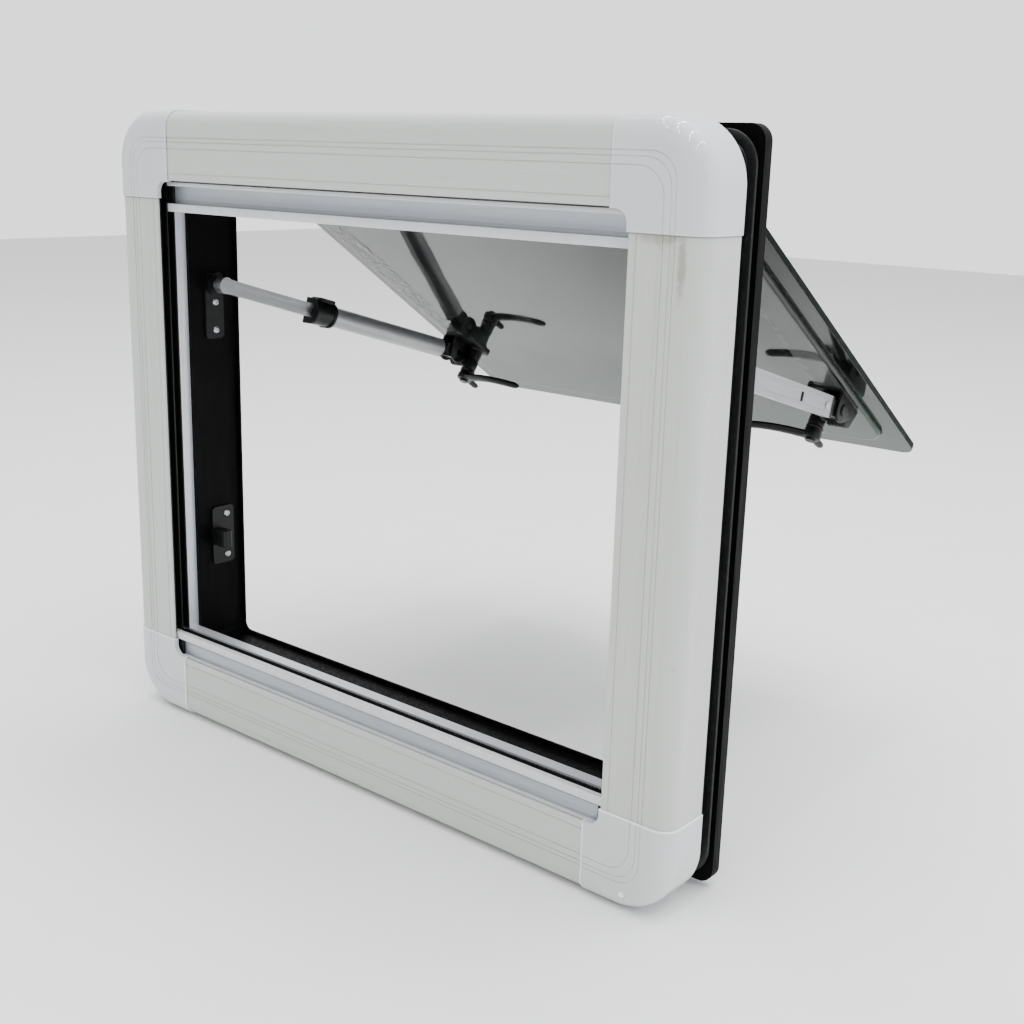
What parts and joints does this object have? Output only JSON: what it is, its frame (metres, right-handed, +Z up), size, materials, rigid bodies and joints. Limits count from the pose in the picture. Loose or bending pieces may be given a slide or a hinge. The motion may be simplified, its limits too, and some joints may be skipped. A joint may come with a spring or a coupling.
{
  "type": "caravan window",
  "caption": "Top-hung framed window with a tinted acrylic sash on telescopic stays, turn latches, a roller blind and an insect screen.",
  "frame": {"origin": "centre of the window in the plane of the wall's outer skin, which the flange's seal lies on", "axes": "+X to the right seen from indoors, +Y to the outside, +Z up"},
  "size_m": [0.6176, 0.4774, 0.5548],
  "materials": {
    "rail_paint": "painted satin",
    "cover_plastic": "gloss",
    "white_bar": "painted satin",
    "strip_metal": "satin",
    "black_frame": "painted semi-gloss",
    "black_plastic": "matte",
    "rubber": "matte",
    "pile": "pile",
    "acrylic": "smoked gloss",
    "stay_aluminium": "anodised",
    "steel": "zinc plated",
    "blackout_cloth": "coated",
    "insect_mesh": "woven",
    "roller_tube": "mill"
  },
  "bodies": {
    "root": {"inner_rail_top": "rail_paint", "inner_rail_bottom": "rail_paint", "inner_rail_left": "rail_paint", "inner_rail_right": "rail_paint", "corner_cover_top_right": "cover_plastic", "corner_cover_top_left": "cover_plastic", "corner_cover_bottom_right": "cover_plastic", "corner_cover_bottom_left": "cover_plastic", "corner_keys": "steel", "guide_left": "black_plastic", "guide_right": "black_plastic", "back_strip_top": "strip_metal", "back_strip_bottom": "strip_metal", "back_strip_left": "strip_metal", "back_strip_right": "strip_metal", "slot_brush_top": "pile", "slot_brush_bottom": "pile", "clamp_screws": "steel", "roller_brackets": "black_plastic", "roller_spindles": "steel", "roller_springs": "steel", "blind_sheet": "blackout_cloth", "screen_sheet": "insect_mesh", "outer_frame": "black_frame", "flange_seal": "rubber", "sash_seal": "rubber", "hinge_rail": "black_frame", "stay_bracket_left": "black_plastic", "stay_bracket_right": "black_plastic", "catch_plate_left": "black_plastic", "catch_plate_right": "black_plastic", "jamb_screws": "steel"},
    "sash": {"pane_outer": "acrylic", "pane_bond": "acrylic", "pane_inner": "acrylic", "sash_hinge_profile": "black_frame", "pane_bracket_left": "black_plastic", "pane_bracket_right": "black_plastic", "stay_pivot_pins": "steel", "latch_screws": "steel"},
    "latch_left": {"latch_left": "black_plastic"},
    "latch_right": {"latch_right": "black_plastic"},
    "stay_tube_left": {"stay_tube_left": "stay_aluminium", "stay_collar_left": "black_plastic", "stay_end_fitting_left": "black_plastic", "stay_rivet_left": "steel"},
    "stay_tube_right": {"stay_tube_right": "stay_aluminium", "stay_collar_right": "black_plastic", "stay_end_fitting_right": "black_plastic", "stay_rivet_right": "steel"},
    "stay_rod_left": {"stay_rod_left": "stay_aluminium"},
    "stay_rod_right": {"stay_rod_right": "stay_aluminium"},
    "blind_bar": {"blind_bar": "white_bar", "blind_bar_plugs": "black_plastic"},
    "screen_bar": {"screen_bar": "white_bar", "screen_bar_plugs": "black_plastic"},
    "blind_roller": {"blind_roller_tube": "roller_tube", "blind_roll": "blackout_cloth"},
    "screen_roller": {"screen_roller_tube": "roller_tube", "screen_roll": "insect_mesh"}
  },
  "joints": [
    {"name": "sash_hinge", "type": "hinge", "parent": "root", "child": "sash", "pos_m": [0, 0.016, 0.25], "axis": [1, 0, 0], "range_deg": [-56, 0]},
    {"name": "stay_swing_left", "type": "hinge", "parent": "sash", "child": "stay_tube_left", "pos_m": [-0.227, 0.29028, 0.03967], "axis": [1, 0, 0], "range_deg": [-15.46, 0]},
    {"name": "stay_slide_left", "type": "slide", "parent": "stay_tube_left", "child": "stay_rod_left", "axis": [0, -0.9614, 0.275], "range_m": [-0.0953, 0]},
    {"name": "latch_turn_left", "type": "hinge", "parent": "sash", "child": "latch_left", "pos_m": [-0.208, 0.29544, 0.0205], "axis": [0, -0.5592, -0.829], "range_deg": [-90, 0]},
    {"name": "stay_swing_right", "type": "hinge", "parent": "sash", "child": "stay_tube_right", "pos_m": [0.227, 0.29028, 0.03967], "axis": [1, 0, 0], "range_deg": [-15.46, 0]},
    {"name": "stay_slide_right", "type": "slide", "parent": "stay_tube_right", "child": "stay_rod_right", "axis": [0, -0.9614, 0.275], "range_m": [-0.0953, 0]},
    {"name": "latch_turn_right", "type": "hinge", "parent": "sash", "child": "latch_right", "pos_m": [0.208, 0.29544, 0.0205], "axis": [0, -0.5592, -0.829], "range_deg": [0, 90]},
    {"name": "blind_pull", "type": "slide", "parent": "root", "child": "blind_bar", "axis": [0, 0, -1], "range_m": [0, 0.3875], "deforming": ["blind_sheet"]},
    {"name": "screen_pull", "type": "slide", "parent": "root", "child": "screen_bar", "axis": [0, 0, 1], "range_m": [0, 0.3875], "deforming": ["screen_sheet"]},
    {"name": "blind_roller_spin", "type": "hinge", "parent": "root", "child": "blind_roller", "pos_m": [0, -0.0405, 0.2547], "axis": [1, 0, 0], "range_deg": [0, 1776.17]},
    {"name": "screen_roller_spin", "type": "hinge", "parent": "root", "child": "screen_roller", "pos_m": [0, -0.0477, -0.2547], "axis": [-1, 0, 0], "range_deg": [0, 1776.17]}
  ],
  "couplings": [
    {"joint": "stay_swing_left", "follows": "sash_hinge", "ratio": 0.27601},
    {"joint": "stay_slide_left", "follows": "sash_hinge", "m_per_rad": 0.097501},
    {"joint": "stay_swing_right", "follows": "sash_hinge", "ratio": 0.27601},
    {"joint": "stay_slide_right", "follows": "sash_hinge", "m_per_rad": 0.097501},
    {"joint": "blind_roller_spin", "follows": "blind_pull", "rad_per_m": 80},
    {"joint": "screen_roller_spin", "follows": "screen_pull", "rad_per_m": 80}
  ]
}
